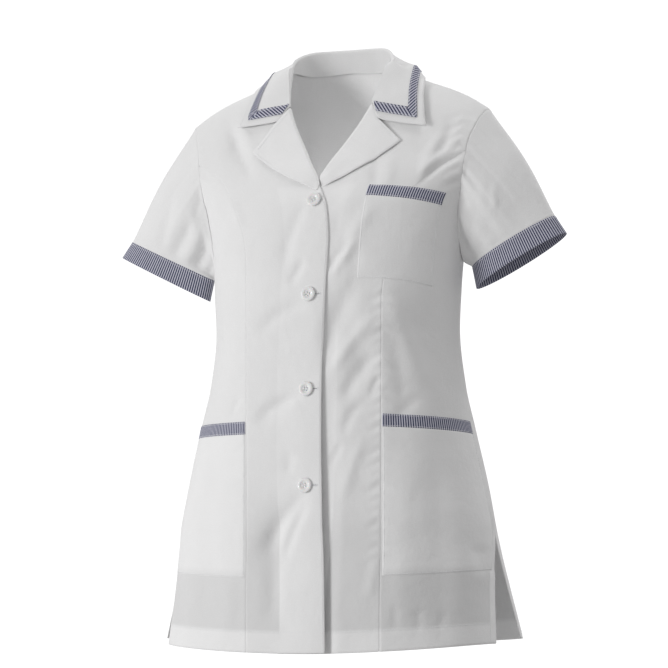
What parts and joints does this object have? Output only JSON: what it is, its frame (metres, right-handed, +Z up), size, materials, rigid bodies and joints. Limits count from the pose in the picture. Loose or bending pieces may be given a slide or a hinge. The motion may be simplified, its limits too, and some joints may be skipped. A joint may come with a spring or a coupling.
{
  "type": "work tunic",
  "caption": "Short-sleeved work tunic with a notched collar, buttoned front, chest and hip patch pockets and striped cuffs and trims, kept in the hollow form it has when worn.",
  "frame": {"origin": "middle of the neck opening, level with the upper ends of the shoulder seams, where the wearer's shoulders hold the garment up", "axes": "+Z up, the wearer faces -Y, +X to the wearer's left"},
  "size_m": [0.5902, 0.2484, 0.7669],
  "materials": {
    "white_cloth": "matt poly-cotton twill",
    "striped_cloth": "matt, narrow dark blue and white stripes",
    "button": "satin pearl white"
  },
  "bodies": {
    "root": {"front_right": "white_cloth", "front_left": "white_cloth", "side_front_right": "white_cloth", "side_front_left": "white_cloth", "back": "white_cloth", "sleeve_right": "white_cloth", "sleeve_left": "white_cloth", "cuff_right": "striped_cloth", "cuff_left": "striped_cloth", "collar": "white_cloth", "collar_trim": "striped_cloth", "lapel_right": "white_cloth", "lapel_left": "white_cloth", "chest_pocket": "white_cloth", "chest_pocket_trim": "striped_cloth", "hip_pocket_right": "white_cloth", "hip_pocket_left": "white_cloth", "hip_pocket_trim_right": "striped_cloth", "hip_pocket_trim_left": "striped_cloth", "button_1": "button", "button_2": "button", "button_3": "button", "button_4": "button"}
  },
  "joints": []
}
